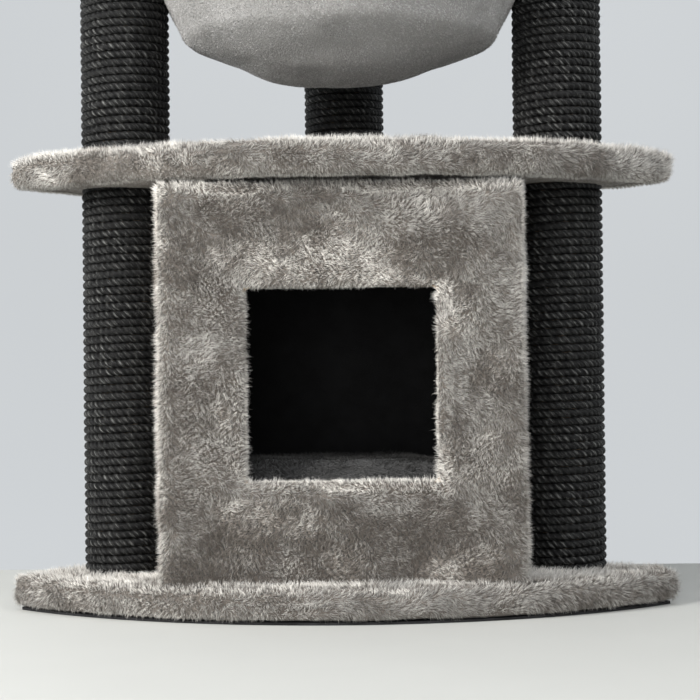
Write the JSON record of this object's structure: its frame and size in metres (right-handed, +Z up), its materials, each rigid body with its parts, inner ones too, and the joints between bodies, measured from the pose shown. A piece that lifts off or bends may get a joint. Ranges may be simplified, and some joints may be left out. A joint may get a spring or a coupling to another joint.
{
  "type": "cat tree",
  "caption": "Corner cat tree: quarter-circle plush plates on rope-wrapped posts, a plush house with a square doorway and loose cushion, and a lift-off hammock bag on a ring.",
  "frame": {"origin": "under the middle of the bounding box, on the floor", "axes": "+Z up, +Y towards the room corner behind the tree, +X to the right seen from the front"},
  "size_m": [0.8764, 0.643, 1.156],
  "materials": {
    "plush": "long grey plush pile",
    "cushion_plush": "grey plush pile, softer and shorter",
    "hammock_plush": "short velvety grey plush",
    "sisal_rope": "black dyed three-strand sisal rope",
    "card_tube": "spiral-wound card",
    "plug_wood": "plain turned wood",
    "board": "raw particle board",
    "felt": "dark needle felt",
    "lining": "dark woven cloth",
    "hook_steel": "black powder coat",
    "zinc_steel": "bright zinc plate"
  },
  "bodies": {
    "tree": {"base_board": "board", "base_bolt_washers": "zinc_steel", "base_felt_underlay": "felt", "base_plush_cover": "plush", "base_post_bolts": "zinc_steel", "hammock_hook_left": "hook_steel", "hammock_hook_rear": "hook_steel", "hammock_hook_right": "hook_steel", "hammock_hook_screws": "zinc_steel", "house_back_panel": "board", "house_bolt_washers": "zinc_steel", "house_floor_bolts": "zinc_steel", "house_floor_panel": "board", "house_front_panel": "board", "house_left_panel": "board", "house_lining": "lining", "house_panel_screws": "zinc_steel", "house_plush_cover": "plush", "house_right_panel": "board", "house_roof_panel": "board", "lower_left_post_rope": "sisal_rope", "lower_left_post_tube": "card_tube", "lower_post_inserts": "zinc_steel", "lower_post_plugs": "plug_wood", "lower_rear_post_rope": "sisal_rope", "lower_rear_post_tube": "card_tube", "lower_right_post_rope": "sisal_rope", "lower_right_post_tube": "card_tube", "middle_board": "board", "middle_plush_cover": "plush", "middle_plush_underside": "plush", "middle_studs": "zinc_steel", "top_board": "board", "top_board_inserts": "zinc_steel", "top_plush_cover": "plush", "top_plush_underside": "plush", "top_studs": "zinc_steel", "upper_left_post_rope": "sisal_rope", "upper_left_post_tube": "card_tube", "upper_post_inserts": "zinc_steel", "upper_post_plugs": "plug_wood", "upper_rear_post_rope": "sisal_rope", "upper_rear_post_tube": "card_tube", "upper_right_post_rope": "sisal_rope", "upper_right_post_tube": "card_tube"},
    "hammock": {"hammock_ring": "zinc_steel", "hammock_bag": "hammock_plush"},
    "cushion": {"house_cushion": "cushion_plush"}
  },
  "joints": [
    {"name": "hammock_lift", "type": "slide", "parent": "tree", "child": "hammock", "axis": [0, 0, 1], "range_m": [0, 0.03]},
    {"name": "cushion_lift", "type": "slide", "parent": "tree", "child": "cushion", "axis": [0, 0, 1], "range_m": [0, 0.12]}
  ]
}
